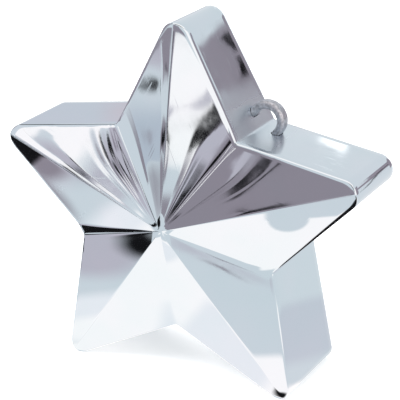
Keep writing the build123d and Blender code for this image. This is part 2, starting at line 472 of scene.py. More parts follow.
class WEIGHT_OT_shell(bpy.types.Operator):
    """Builds the plated star shell, with its faceted front, stepped back rim and loop slots"""

    bl_idname = "weight.shell"
    bl_label = "Plated shell"

    FACET_RINGS = 32
    ROUNDED_RINGS = 5
    WALL_RINGS = 12
    INNER_SHARES = (1.0, 0.5, 0.05)

    def execute(self, context):
        sizes = context.scene.weight_star
        star = Star(sizes)
        bm = bmesh.new()
        outline = StarOutline(bm, star, cuts=84, tip_segments=32, notch_segments=4)
        haze = bm.verts.layers.float.new("haze")
        hypotenuse = sqrt(1 + star.slope ** 2)
        arc_depth = sizes.edge_rounding * (hypotenuse - star.slope)
        arc_start = atan2(-1, -star.slope)
        facet_inset = sizes.edge_rounding * (1 - star.slope / hypotenuse)
        inner_depth = sizes.wall * hypotenuse

        def front(place):
            return star.facet_depth(place.x, place.y) + facet_waves(star, place.x, place.y)

        def facet(vert, share):
            place = outline.inset(vert, facet_inset) * share
            return star.point(place.x, place.y, front(place))

        def rounded(vert, share):
            angle = arc_start + (-pi - arc_start) * share
            inset = sizes.edge_rounding * (1 + cos(angle))
            place = outline.inset(vert, inset)
            arc = arc_depth + sizes.edge_rounding * sin(angle) + inset * star.slope
            return star.point(place.x, place.y, front(place) + arc)

        def wall(vert, share):
            place = vert[outline.home]
            start = front(place) + arc_depth
            end = star.back_depth(place.y, sizes.rim_softness)
            depth = start + (end - start) * share
            calm = smooth_step(share / WALL_CALM) * smooth_step((1 - share) / WALL_CALM)
            vert[haze] = notch_haze(star, place)
            place = outline.inset(vert, wall_waves(star, place, depth) * calm)
            return star.point(place.x, place.y, depth)

        def inner_facet(vert, share):
            place = outline.inset(vert, sizes.wall) * share
            return star.point(place.x, place.y, star.facet_depth(place.x, place.y) + inner_depth)

        for vert in bm.verts:
            vert.co = rounded(vert, 0)
        facet_shares = [1 - share for share in even_shares(self.FACET_RINGS)[:-1]]
        ring = add_rings(bm, outline.ring, facet, facet_shares)
        apex = star.point(0, 0, star.front_depth)
        bmesh.ops.pointmerge(bm, verts=ring_verts(ring), merge_co=apex)

        ring = [edge for edge in bm.edges if edge.is_boundary]
        ring = add_rings(bm, ring, rounded, even_shares(self.ROUNDED_RINGS))
        ring = add_rings(bm, ring, wall, even_shares(self.WALL_RINGS))
        cover = context.scene.weight_cover
        ledge = cover.thickness + cover.seal
        soft, rim = sizes.rim_softness, sizes.rim_wall
        turned = soft * MID_ARC
        rim_steps = (
            (turned, turned), (soft, 0), (rim - soft, 0), (rim - turned, turned), (rim, soft),
            (rim, ledge), (sizes.wall, ledge),
        )
        ring = add_rings(bm, ring, outline.behind, rim_steps)
        ring = add_rings(bm, ring, inner_facet, self.INNER_SHARES)
        inner_apex = star.point(0, 0, star.front_depth + inner_depth)
        bmesh.ops.pointmerge(bm, verts=ring_verts(ring), merge_co=inner_apex)
        bmesh.ops.recalc_face_normals(bm, faces=bm.faces)

        tints = context.scene.weight_finishes
        finish = plated_finish(
            "plated_shell", tints.plating, tints.plating_haze, patch_scale=45, hazing=1.0, graining=0.2
        )
        shell = new_piece("plated_star_shell", bm, finish)
        cut_slots(context, shell, star)
        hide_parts("front_shell")
        return {"FINISHED"}


def loop_frame(star, loop):
    """The matrix of the ribbon loop's own axes: across the notch, to the back, and out of it."""
    angle = TOP - HALF_STEP
    across = Vector((sin(angle), 0, -cos(angle)))
    outward = Vector((cos(angle), 0, sin(angle)))
    u, v = star.sizes.notch_radius * cos(angle), star.sizes.notch_radius * sin(angle)
    origin = star.point(u, v, star.back_depth(v) - loop.depth)
    turned = Matrix((across, Vector((0, 1, 0)), outward)).transposed().to_4x4()
    return Matrix.Translation(origin) @ turned


def inner_wall_level(star, reach):
    """How far out of the notch the shell's inner wall lies, at a reach across from its middle."""
    return reach / tan(star.notch_half) - star.sizes.wall / sin(star.notch_half)


def leg_end(star, loop):
    """How far out of the notch the inner ends of the loop's legs lie."""
    return inner_wall_level(star, loop.inner_radius) - loop.barb_height


def band_outline(bm, loop, middle, level, gap, segments):
    """Draws the band's rounded section, square to a leg, as a ring of edges."""
    corners = bmesh.ops.create_grid(bm, x_segments=1, y_segments=1, size=0.5)["verts"]
    bmesh.ops.scale(bm, vec=(loop.band + 2 * gap, loop.width + 2 * gap, 1), verts=corners)
    bmesh.ops.translate(bm, vec=(middle, 0, level), verts=corners)
    others = set(bm.edges) - {edge for vert in corners for edge in vert.link_edges}
    bmesh.ops.bevel(
        bm, geom=corners, offset=loop.rounding + gap, offset_type="OFFSET", segments=segments,
        profile=0.5, affect="VERTICES", material=-1, clamp_overlap=False,
    )
    return [edge for edge in bm.edges if edge not in others]


def cut_slots(context, shell, star):
    """Cuts the two slots for the ribbon loop's legs through the shell's walls."""
    loop = context.scene.weight_loop
    level = leg_end(star, loop)
    middle = loop.inner_radius + loop.band / 2
    top = loop.rise + loop.inner_radius + loop.band
    bm = bmesh.new()
    for side in (-1, 1):
        ring = band_outline(bm, loop, side * middle, level, loop.slot_gap, segments=4)
        face = next(face for face in bm.faces if set(face.edges) == set(ring))
        made = bmesh.ops.extrude_face_region(bm, geom=[face], use_keep_orig=True)["geom"]
        bmesh.ops.translate(bm, vec=(0, 0, top - level), verts=verts_of(made))
    bmesh.ops.transform(bm, matrix=loop_frame(star, loop), verts=bm.verts)
    bmesh.ops.recalc_face_normals(bm, faces=bm.faces)
    mesh = bpy.data.meshes.new("slot_cutter")
    bm.to_mesh(mesh)
    bm.free()
    cutter = bpy.data.objects.new("slot_cutter", mesh)
    context.scene.collection.objects.link(cutter)
    cut = shell.modifiers.new("slots", "BOOLEAN")
    cut.operation = "DIFFERENCE"
    cut.solver = "EXACT"
    cut.object = cutter
    graph = context.evaluated_depsgraph_get()
    whole = shell.data
    shell.data = bpy.data.meshes.new_from_object(shell.evaluated_get(graph))
    shell.modifiers.clear()
    shell.data.name = whole.name
    bpy.data.meshes.remove(whole)
    bpy.data.objects.remove(cutter)
    bpy.data.meshes.remove(mesh)
    shell.data.set_sharp_from_angle(angle=SMOOTH_ANGLE)


class WEIGHT_OT_ribbon_loop(bpy.types.Operator):
    """Builds the ribbon loop: a rounded band over the notch, with barbed legs in the slots"""

    bl_idname = "weight.ribbon_loop"
    bl_label = "Ribbon loop"

    LEG_RINGS = 14
    ARCH_STEPS = 40
    LUMP = 0.0011
    FINE_LUMP = 0.0005
    FINE_SHARE = 0.6
    LUMP_HEIGHT = 0.00003
    BARB_ROOT = 0.4

    def execute(self, context):
        star = Star(context.scene.weight_star)
        loop = context.scene.weight_loop
        bm = bmesh.new()
        self.add_band(bm, star, loop)
        for vert in bm.verts:
            lump = noise.noise(vert.co / self.LUMP)
            lump += self.FINE_SHARE * noise.noise(vert.co / self.FINE_LUMP)
            vert.co -= vert.normal * self.LUMP_HEIGHT * (1 + lump)
        self.add_barbs(bm, star, loop)
        bmesh.ops.recalc_face_normals(bm, faces=bm.faces)
        bmesh.ops.transform(bm, matrix=loop_frame(star, loop), verts=bm.verts)
        tints = context.scene.weight_finishes
        finish = plated_finish(
            "plated_loop", tints.loop_plating, tints.loop_haze, patch_scale=1500, hazing=9.0, graining=6.0
        )
        piece = new_piece("plated_ribbon_loop", bm, finish)
        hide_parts("ribbon_loop")
        return {"FINISHED"}

    def add_band(self, bm, star, loop):
        """The band: up one leg, round the arch and down the other leg."""
        level = leg_end(star, loop)
        middle = loop.inner_radius + loop.band / 2
        first = band_outline(bm, loop, -middle, level, gap=0.0, segments=6)
        bmesh.ops.delete(bm, geom=bm.faces[:], context="FACES_ONLY")
        rise = Vector((0, 0, (loop.rise - level) / self.LEG_RINGS))

        def moved(vert, step):
            return vert.co + step

        ring = add_rings(bm, first, moved, [rise] * self.LEG_RINGS)
        made = bmesh.ops.spin(
            bm, geom=ring_verts(ring) + ring, cent=(0, 0, loop.rise), axis=(0, 1, 0),
            dvec=(0, 0, 0), angle=pi, steps=self.ARCH_STEPS, use_duplicate=False,
        )
        last = add_rings(bm, edges_of(made["geom_last"]), moved, [-rise] * self.LEG_RINGS)
        bmesh.ops.contextual_create(bm, geom=first)
        bmesh.ops.contextual_create(bm, geom=last)
        bmesh.ops.recalc_face_normals(bm, faces=bm.faces)

    def add_barbs(self, bm, star, loop):
        """A barb on each leg, which holds the loop from behind the wall."""
        outer = loop.inner_radius + loop.band
        root, tip = loop.inner_radius + self.BARB_ROOT * loop.band, outer + loop.barb_reach
        low = leg_end(star, loop) + loop.barb_gap
        profile = (
            (root, inner_wall_level(star, root) - loop.barb_gap),
            (tip, inner_wall_level(star, tip) - loop.barb_gap), (outer, low), (root, low),
        )
        half_width = loop.width / 2 - loop.rounding
        for side in (-1, 1):
            corners = [bm.verts.new((side * reach, -half_width, rise)) for reach, rise in profile]
            face = bm.faces.new(corners)
            made = bmesh.ops.extrude_face_region(bm, geom=[face], use_keep_orig=True)["geom"]
            bmesh.ops.translate(bm, vec=(0, 2 * half_width, 0), verts=verts_of(made))


def hole_frame(star):
    """The matrix of the filling hole's own axes, with its third axis out of the leaning back."""
    lean = star.sizes.back_lean
    origin = star.point(0, 0, star.back_depth(0))
    normal = Vector((0, cos(lean), sin(lean)))
    side = Vector((1, 0, 0))
    turned = Matrix((side, normal.cross(side), normal)).transposed().to_4x4()
    return Matrix.Translation(origin) @ turned


class WEIGHT_OT_back_cover(bpy.types.Operator):
    """Builds the star cover that closes the back, with its recessed filling hole"""

    bl_idname = "weight.back_cover"
    bl_label = "Back cover"

    def execute(self, context):
        star = Star(context.scene.weight_star)
        cover = context.scene.weight_cover
        edge = cover.edge
        inset = star.sizes.rim_wall + cover.gap
        turned = edge * MID_ARC
        bm = bmesh.new()
        outline = StarOutline(bm, star, cuts=12, tip_segments=12, notch_segments=4)
        for vert in bm.verts:
            vert.co = outline.behind(vert, (inset, cover.thickness))
        steps = ((inset, edge), (inset + turned, turned), (inset + edge, 0))
        outer_ring = add_rings(bm, outline.ring, outline.behind, steps)

        before = set(bm.edges)
        self.add_hole(bm, star, cover)
        ends = [item for item in bm.edges if item not in before and item.is_boundary]
        middle = star.point(0, 0, star.back_depth(0))
        wide = [item for item in ends if (item.verts[0].co - middle).length > cover.recess_radius]
        narrow = [item for item in ends if item not in wide]
        bmesh.ops.triangle_fill(bm, use_beauty=True, edges=outer_ring + wide)
        bmesh.ops.triangle_fill(bm, use_beauty=True, edges=outline.ring + narrow)
        bmesh.ops.recalc_face_normals(bm, faces=bm.faces)
        piece = new_piece("star_back_cover", bm, cover_finish(context))
        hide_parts("back_cover")
        return {"FINISHED"}

    def add_hole(self, bm, star, cover):
        """The stepped wall of the filling hole, from the back face to the inside."""
        edge = cover.edge
        turned = edge * MID_ARC
        recess, bore, deep = cover.recess_radius, cover.hole_radius, cover.recess_depth
        profile = [
            (recess + edge, 0), (recess + turned, -turned), (recess, -edge), (recess, -deep),
            (bore + edge, -deep), (bore + turned, -deep - turned), (bore, -deep - edge),
            (bore, -cover.thickness),
        ]

        def stretched(vert, step):
            radius, height = step
            flat = vert.co.xy.normalized() * radius
            return Vector((flat.x, flat.y, height))

        hole = bmesh.new()
        bmesh.ops.create_circle(hole, cap_ends=False, segments=ROUND_STEPS, radius=profile[0][0])
        add_rings(hole, hole.edges[:], stretched, profile[1:])
        bmesh.ops.transform(hole, matrix=hole_frame(star), verts=hole.verts)
        loose = bpy.data.meshes.new("hole_wall")
        hole.to_mesh(loose)
        hole.free()
        bm.from_mesh(loose)
        bpy.data.meshes.remove(loose)


class WEIGHT_OT_fill_plug(bpy.types.Operator):
    """Builds the filling plug by spinning its section: flange, hollow skirt and snap bead"""

    bl_idname = "weight.fill_plug"
    bl_label = "Filling plug"

    GROOVE_SHARE = 0.72
    EASED_SHARE = 0.3
    MERGE_SHARE = 0.01
    SMOOTH_ANGLE = radians(30)

    def execute(self, context):
        star = Star(context.scene.weight_star)
        cover = context.scene.weight_cover
        edge = cover.edge
        eased = edge * self.EASED_SHARE
        flange = cover.recess_radius - cover.flange_gap
        groove = flange * self.GROOVE_SHARE
        skirt = cover.hole_radius - cover.skirt_gap
        inside = skirt - cover.skirt_wall
        seat = -cover.recess_depth
        top = seat + cover.flange_thickness
        end = seat - cover.skirt_length
        bead_top = -cover.thickness - cover.bead_gap
        section = [
            (0, seat), (inside, seat), (inside, end), (skirt - edge, end), (skirt, end + edge),
            (skirt, bead_top - cover.bead_length),
            (cover.hole_radius + cover.bead_height, bead_top - cover.bead_height),
            (skirt, bead_top), (skirt, seat), (flange, seat), (flange, top - edge),
            (flange - eased, top - eased), (flange - edge, top), (groove + 2 * edge, top),
            (groove + edge, top - edge), (groove - edge, top - edge), (groove - 2 * edge, top), (0, top),
        ]
        bm = bmesh.new()
        corners = [bm.verts.new((radius, 0, height)) for radius, height in section]
        edges = [bm.edges.new(pair) for pair in zip(corners, corners[1:])]
        bmesh.ops.spin(
            bm, geom=corners + edges, cent=(0, 0, 0), axis=(0, 0, 1), dvec=(0, 0, 0),
            angle=2 * pi, steps=ROUND_STEPS, use_merge=True, use_duplicate=False,
        )
        bmesh.ops.remove_doubles(bm, verts=bm.verts, dist=edge * self.MERGE_SHARE)
        bmesh.ops.recalc_face_normals(bm, faces=bm.faces)
        bmesh.ops.transform(bm, matrix=hole_frame(star), verts=bm.verts)
        piece = new_piece("filling_plug", bm, plug_finish(context), self.SMOOTH_ANGLE)
        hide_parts("fill_plug")
        return {"FINISHED"}


class WEIGHT_OT_filling(bpy.types.Operator):
    """Dresses the pieces shut inside, the sand and the glue bead, in their finishes"""

    bl_idname = "weight.filling"
    bl_label = "Sand and glue"

    def execute(self, context):
        for name, finish in (("sand_fill", sand_finish(context)), ("cover_seal", glue_finish(context))):
            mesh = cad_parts[name].data
            mesh.materials.clear()
            mesh.materials.append(finish)
        return {"FINISHED"}


def empty_tree(owner):
    """The node tree of a material or a world, emptied."""
    owner.use_nodes = True
    owner.node_tree.nodes.clear()
    return owner.node_tree


def set_inputs(tree, node, inputs):
    """Sets a node's inputs to values, or links them."""
    for name, value in inputs.items():
        if isinstance(value, bpy.types.NodeSocket):
            tree.links.new(value, node.inputs[name])
        else:
            node.inputs[name].default_value = value


def add_node(tree, kind, inputs=None, **settings):
    """Adds a shader node, with its settings, and its inputs as values or links."""
    node = tree.nodes.new("ShaderNode" + kind)
    for name, value in settings.items():
        setattr(node, name, value)
    set_inputs(tree, node, inputs or {})
    return node


def new_finish(name):
    """A material with a plain shader on its output, and the piece's own coordinates."""
    finish = bpy.data.materials.new(name)
    tree = empty_tree(finish)
    output = add_node(tree, "OutputMaterial")
    shader = add_node(tree, "BsdfPrincipled")
    tree.links.new(shader.outputs["BSDF"], output.inputs["Surface"])
    place = add_node(tree, "TexCoord").outputs["Object"]
    return finish, tree, shader, place


def noise_node(tree, coordinates, scale, detail=2.0):
    """Noise on the piece's own coordinates, with its scale in waves per metre."""
    inputs = {"Vector": coordinates, "Scale": scale, "Detail": detail}
    return add_node(tree, "TexNoise", inputs).outputs["Fac"]


def spread(tree, value, low, high, start=0.3, end=0.7):
    """Spreads a noise value over a range."""
    inputs = {"Value": value, "From Min": start, "From Max": end, "To Min": low, "To Max": high}
    return add_node(tree, "MapRange", inputs).outputs["Result"]


def colour_ramp(tree, value, *tones):
    """A colour between tones, each with its position, by a value."""
    ramp = add_node(tree, "ValToRGB", {"Fac": value})
    elements = ramp.color_ramp.elements
    for element, (position, tone) in zip(elements, (tones[0], tones[-1])):
        element.position = position
        element.color = (*tone, 1)
    for position, tone in tones[1:-1]:
        elements.new(position).color = (*tone, 1)
    return ramp.outputs["Color"]


def two_tone(tree, value, first, second):
    """A colour between two, by a noise value."""
    return colour_ramp(tree, value, (0.35, first), (0.65, second))


def bump(tree, height, distance, under=None):
    """A bump from a height, on top of another where given."""
    inputs = {"Height": height, "Distance": distance, "Strength": 1.0}
    if under:
        inputs["Normal"] = under
    return add_node(tree, "Bump", inputs).outputs["Normal"]


def toned(tint, factor):
    """A tint made paler or darker by a factor."""
    return [min(1.0, value * factor) for value in tint]


def plated_finish(name, first, second, patch_scale, hazing, graining):
    """Mirror plating: a cool tint in two tones, hazy patches, fine grain and hairline scratches.
    Hazing and graining are how much duller and how much coarser it is than on a first-rate mirror."""
    finish, tree, shader, place = new_finish(name)
    tint = two_tone(tree, noise_node(tree, place, scale=patch_scale, detail=3), first, second)
    patches = noise_node(tree, place, scale=160, detail=4)
    patches = spread(tree, patches, low=0.02 * hazing, high=0.06 * hazing)
    worn = add_node(tree, "Attribute", attribute_name="haze").outputs["Fac"]
    haze = add_node(tree, "Math", {0: patches, 1: worn}, operation="ADD").outputs["Value"]
    grain = noise_node(tree, place, scale=2600)
    peel = noise_node(tree, place, scale=420, detail=1)
    stretched = add_node(
        tree, "Mapping", {"Vector": place, "Rotation": (0.4, 0.2, 0.7), "Scale": (90, 4000, 90)}
    ).outputs["Vector"]
    scratch = noise_node(tree, stretched, scale=1, detail=1)
    scratch = spread(tree, scratch, low=0, high=1, start=0.70, end=0.78)
    normal = bump(tree, grain, distance=0.0000012 * graining)
    normal = bump(tree, peel, distance=0.000006 * graining, under=normal)
    normal = bump(tree, scratch, distance=0.000001, under=normal)
    set_inputs(tree, shader, {"Base Color": tint, "Roughness": haze, "Normal": normal, "Metallic": 1.0})
    return finish


def cover_finish(context):
    """Silver-grey satin plastic with a fine moulded texture and rubbed, paler patches."""
    grey = context.scene.weight_finishes.cover
    finish, tree, shader, place = new_finish("cover_plastic")
    tint = two_tone(tree, noise_node(tree, place, scale=70, detail=5), grey, toned(grey, factor=1.18))
    shine = spread(tree, noise_node(tree, place, scale=240, detail=4), low=0.28, high=0.44)
    texture = noise_node(tree, place, scale=2200, detail=3)
    flow = noise_node(tree, place, scale=60, detail=1)
    normal = bump(tree, texture, distance=0.00003)
    normal = bump(tree, flow, distance=0.00012, under=normal)
    set_inputs(tree, shader, {"Base Color": tint, "Roughness": shine, "Normal": normal})
    return finish


def plug_finish(context):
    """Natural white soft plastic, slightly cloudy and waxy."""
    white = context.scene.weight_finishes.plug
    finish, tree, shader, place = new_finish("plug_plastic")
    tint = two_tone(tree, noise_node(tree, place, scale=260, detail=4), toned(white, factor=0.9), white)
    shine = spread(tree, noise_node(tree, place, scale=500, detail=3), low=0.34, high=0.52)
    normal = bump(tree, noise_node(tree, place, scale=1800), distance=0.00002)
    waxy = {"Subsurface Weight": 0.15, "Subsurface Radius": (0.001, 0.001, 0.001)}
    set_inputs(tree, shader, {"Base Color": tint, "Roughness": shine, "Normal": normal, **waxy})
    return finish


def sand_finish(context):
    """Dry sand: pale, tan and dark grains about half a millimetre across."""
    tan_grain = context.scene.weight_finishes.sand
    finish, tree, shader, place = new_finish("sand")
    grains = add_node(tree, "TexVoronoi", {"Vector": place, "Scale": 1900.0})
    dark, pale = toned(tan_grain, factor=0.35), toned(tan_grain, factor=1.6)
    tint = colour_ramp(tree, grains.outputs["Color"], (0, dark), (0.3, tan_grain), (1, pale))
    normal = bump(tree, grains.outputs["Distance"], distance=0.0003)
    shine = spread(tree, noise_node(tree, place, scale=900), low=0.7, high=0.95)
    set_inputs(tree, shader, {"Base Color": tint, "Roughness": shine, "Normal": normal})
    return finish


def glue_finish(context):
    """Glossy amber glue, uneven along the bead."""
    amber = context.scene.weight_finishes.glue
    finish, tree, shader, place = new_finish("glue")
    tint = two_tone(tree, noise_node(tree, place, scale=400, detail=3), toned(amber, factor=0.7), amber)
    shine = spread(tree, noise_node(tree, place, scale=300), low=0.08, high=0.3)
    normal = bump(tree, noise_node(tree, place, scale=700), distance=0.00005)
    set_inputs(tree, shader, {"Base Color": tint, "Roughness": shine, "Normal": normal})
    return finish


# The stage: the point that cards and lamps face, the paper floor, the room's light and the camera
STAGE_MIDDLE = Vector((0, 0, 0.045))
WHITE = (1, 1, 1, 1)
PAPER = (0.86, 0.86, 0.86, 1)
PAPER_GLOW = 0.32
ROOM_LIGHT = 0.45
FLOOR_SIZE = 8.0
FLOOR_LEVEL = -0.0001
SENSOR_WIDTH = 36.0
CLIP_START = 0.01


def stage_object(context, name, mesh, finish):
    """Links a stage object, which is no part of the weight."""
    mesh.materials.append(finish)
    made = bpy.data.objects.new(name, mesh)
    context.scene.collection.objects.link(made)
    return made


def flat_mesh(name, width, height, matrix):
    """A flat rectangle with a UV map, put in its place."""
    bm = bmesh.new()
    bmesh.ops.create_grid(bm, x_segments=1, y_segments=1, size=0.5)
    uv = bm.loops.layers.uv.verify()
    for face in bm.faces:
        for corner in face.loops:
            corner[uv].uv = (corner.vert.co.x + 0.5, corner.vert.co.y + 0.5)
    bmesh.ops.scale(bm, vec=(width, height, 1), verts=bm.verts)
    bmesh.ops.transform(bm, matrix=matrix, verts=bm.verts)
    mesh = bpy.data.meshes.new(name)
    bm.to_mesh(mesh)
    bm.free()
    return mesh


def card_finish(name, tint, softness, oval):
    """A card that only mirrors show: plain light, fading out at its edges."""
    finish = bpy.data.materials.new(name)
    tree = empty_tree(finish)
    output = add_node(tree, "OutputMaterial")
    uv = add_node(tree, "TexCoord").outputs["UV"]
    centred = add_node(
        tree, "Mapping", {"Vector": uv, "Location": (-1, -1, 0), "Scale": (2, 2, 1)}
    ).outputs["Vector"]
    if oval:
        reach = add_node(tree, "VectorMath", {0: centred}, operation="LENGTH").outputs["Value"]
    else:
        sides = add_node(tree, "VectorMath", {0: centred}, operation="ABSOLUTE").outputs["Vector"]
        split = add_node(tree, "SeparateXYZ", {0: sides})
        reach = add_node(
            tree, "Math", {0: split.outputs["X"], 1: split.outputs["Y"], 2: softness},
            operation="SMOOTH_MAX",
        ).outputs["Value"]
    fade = add_node(
        tree, "MapRange",
        {"Value": reach, "From Min": 1 - softness, "From Max": 1.0, "To Min": 1.0, "To Max": 0.0},
        interpolation_type="SMOOTHSTEP",
    ).outputs["Result"]
    light = add_node(tree, "Emission", {"Color": (*tint, 1), "Strength": 1.0})
    clear = add_node(tree, "BsdfTransparent")
    mixed = add_node(tree, "MixShader", {0: fade, 1: clear.outputs[0], 2: light.outputs[0]})
    tree.links.new(mixed.outputs[0], output.inputs["Surface"])
    return finish


def add_card(context, name, matrix, width, height, tone, softness, oval=False):
    """A card that only the plating mirrors: it lights nothing, shades nothing and isn't seen."""
    mesh = flat_mesh(name, width, height, matrix)
    tint = getattr(context.scene.weight_stage, tone)
    card = stage_object(context, name, mesh, card_finish(name, tint, softness, oval))
    card.visible_camera = False
    card.visible_diffuse = False
    card.visible_shadow = False
    card.visible_transmission = False


def direction(azimuth, elevation):
    """The way out from the weight, at an angle to the right of its front and an angle up."""
    return Vector((sin(azimuth) * cos(elevation), -cos(azimuth) * cos(elevation), sin(elevation)))


def facing(azimuth, elevation, distance, roll=0.0):
    """The matrix of a card or lamp that stands round the weight and faces it, from degrees."""
    back = direction(radians(azimuth), radians(elevation))
    turned = back.to_track_quat("Z", "Y").to_matrix().to_4x4()
    spot = STAGE_MIDDLE + back * distance
    return Matrix.Translation(spot) @ turned @ Matrix.Rotation(radians(roll), 4, "Z")


def arc_size(degrees_wide, distance):
    """The size of a card that spans an angle at a distance."""
    return 2 * distance * tan(radians(degrees_wide) / 2)


# Lamps: name, azimuth, elevation, distance, size, power
LAMPS = (
    ("key lamp", -35, 52, 0.9, 0.6, 9.0),
    ("fill lamp", 60, 35, 1.0, 0.7, 5.0),
    ("back lamp", 190, 50, 1.0, 0.7, 6.0),
)

# Cards that stand round the weight: name, azimuth, elevation, width, height, tone, softness, roll and
# distance. Angles are in degrees, and the sizes are angles too
STANDING_CARDS = (
    ("front dark card", -9.3, 7.5, 33.4, 27, "dark", 0.04, 0, 0.47),
    ("front dark wing", 7.4, 10.4, 4, 6.4, "dark", 0.1, 0, 0.47),
    ("front lilac card", -11.8, 12.8, 5.6, 2.6, "lilac", 0.5, -15, 0.46),
    ("front black card", -16.2, 15.66, 4.6, 1, "black", 0.4, -2, 0.455),
    ("front black line", -15.2, 12.4, 0.9, 6.8, "black", 0.9, -52, 0.456),
    ("front black spot", -14.2, 7.2, 1.4, 1.2, "black", 0.7, 0, 0.456),
    ("front lilac patch", 3.6, 1.5, 4.4, 10, "lilac", 0.4, -20, 0.46),
    ("front black flag", -1.2, 3.6, 4.8, 10, "black", 0.35, -24.6, 0.455),
    ("front valley strip", -7, 7, 1.4, 9, "white", 0.4, -32.5, 0.453),
    ("front black strip", 7.1, 0.5, 4.8, 1.3, "black", 0.5, -28.5, 0.446),
    ("front lilac strip", 7.8, 1.5, 2.2, 1, "lilac", 0.5, -12, 0.447),
    ("front apex line", 1.7, -1, 1.4, 5.6, "black", 0.6, -18, 0.456),
    ("front grey card", 7.8, -2, 2.6, 3.8, "dark", 0.8, -20, 0.449),
    ("front low card", 9, -5, 2.4, 3, "dark", 0.6, 0, 0.449),
    ("front softbox", 10.1, 2.35, 8, 9.2, "white", 0.1, 0, 0.45),
    ("left lilac card", -39, 7.8, 10, 7.2, "lilac", 0.3, 0, 0.47),
    ("left softbox", -37.6, 13.5, 12, 4.2, "white", 0.08, -8, 0.465),
    ("left lilac strip", -35.3, 12.1, 3.6, 0.9, "lilac", 0.6, -28, 0.458),
    ("left pale strip", -35.9, 12.6, 3.1, 1.8, "pale", 0.6, -20, 0.46),
    ("left white strip", -35.9, 9.1, 2.6, 1.1, "white", 0.5, -15, 0.454),
    ("left white patch", -42.6, 11.6, 2.4, 1.6, "white", 0.5, 0, 0.46),
    ("left rim patch", -35.8, 13.3, 1.6, 0.9, "dark", 0.6, 0, 0.46),
    ("left pale card", -34.2, 11.2, 3.6, 2.4, "pale", 0.4, 0, 0.46),
    ("left dark patch", -40.6, 9.5, 2, 1.6, "dark", 0.6, 39, 0.457),
    ("left web card", -36.6, 10.5, 5, 1.7, "dark", 0.6, -18, 0.4565),
    ("left black flag", -37.9, 8.7, 1.6, 3.2, "black", 0.6, 12, 0.455),
    ("left black strip", -38, 11.2, 1.8, 1.5, "black", 0.6, 0, 0.455),
    ("left dark strip", -38.6, 6.4, 2.4, 1.6, "dark", 0.6, 39, 0.455),
    ("left tip card", -60, 3.6, 6.4, 5.2, "dark", 0.3, 0, 0.45),
    ("left tip spot", -65.2, -0.7, 1.2, 0.8, "black", 0.7, 0, 0.446),
    ("left lilac tip", -60.4, 1, 4, 2.6, "lilac", 0.6, 0, 0.451),
    ("left tip strip", -64.6, 1.8, 3.8, 6.8, "dark", 0.2, 0, 0.45),
    ("left far card", -95, 14, 58, 32, "dark", 0.1, 0, 0.45),
    ("left high card", -76, 42, 46, 11, "black", 0.2, 0, 0.45),
    ("front high card", 18, 42, 24, 28, "black", 0.2, 0, 0.45),
    ("left low strip", -63.3, -4.9, 2.4, 1.4, "black", 0.6, 0, 0.449),
    ("left ridge card", -62.4, -7.4, 5.6, 7.4, "dark", 0.15, 0, 0.45),
    ("left low card", -58.6, -5.8, 5, 9.4, "mist", 0.5, 14, 0.452),
    ("left grey strip", -56.7, -4.5, 1.8, 8.4, "dark", 0.7, 23.7, 0.451),
    ("left valley strip", -45, 4.5, 2, 9, "white", 0.4, 36.7, 0.451),
    ("left horizon card", -36, -1.5, 22, 9, "black", 0.15, 0, 0.452),
    # A small black card whose reflection paints the dark mark on a facet of the lower left point.
    ("left dark spot card", -60.14, -0.9, 0.44, 1.5, "black", 0.8, -11.9, 0.445),
    ("right softbox", 75, 18, 124, 56, "white", 0.1, 0, 0.45),
    ("overhead softbox", 0, 90, 80, 80, "white", 0.2, 0, 0.45),
    ("rear dark card", 148, 2.5, 40, 29.7, "dark", 0.03, 0, 0.45),
    ("rear rim card", 138.8, 18.2, 17.5, 4.6, "dark", 0.1, 0, 0.447),
    ("rear tip card", 146, -1, 8, 22.8, "pale", 0.05, 0, 0.448),
    ("rear tip patch", 146.6, 15.07, 3, 8, "pale", 0.05, -22.3, 0.446),
    ("rear tip line", 146.9, 8.2, 0.6, 5, "black", 0.5, -18, 0.446),
    ("rear edge line", 145.8, 3.2, 0.6, 6.4, "black", 0.5, -7, 0.445),
    ("rear low line", 145.5, -3, 0.6, 7, "black", 0.5, 2, 0.444),
    ("rear flag", 151.3, 16.05, 1, 1.6, "black", 0.15, 0, 0.445),
    ("rear low flag", 150.6, 14.4, 0.8, 1.7, "black", 0.15, -30, 0.445),
    ("rear mist card", -140, 10, 24, 14, "mist", 0.4, 0, 0.45),
    ("rear lilac card", -144, 10.4, 5, 3, "lilac", 0.9, 0, 0.445),
    ("rear softbox", -169.1, 26.6, 2.5, 1.8, "glare", 0.45, 0, 0.45),
)

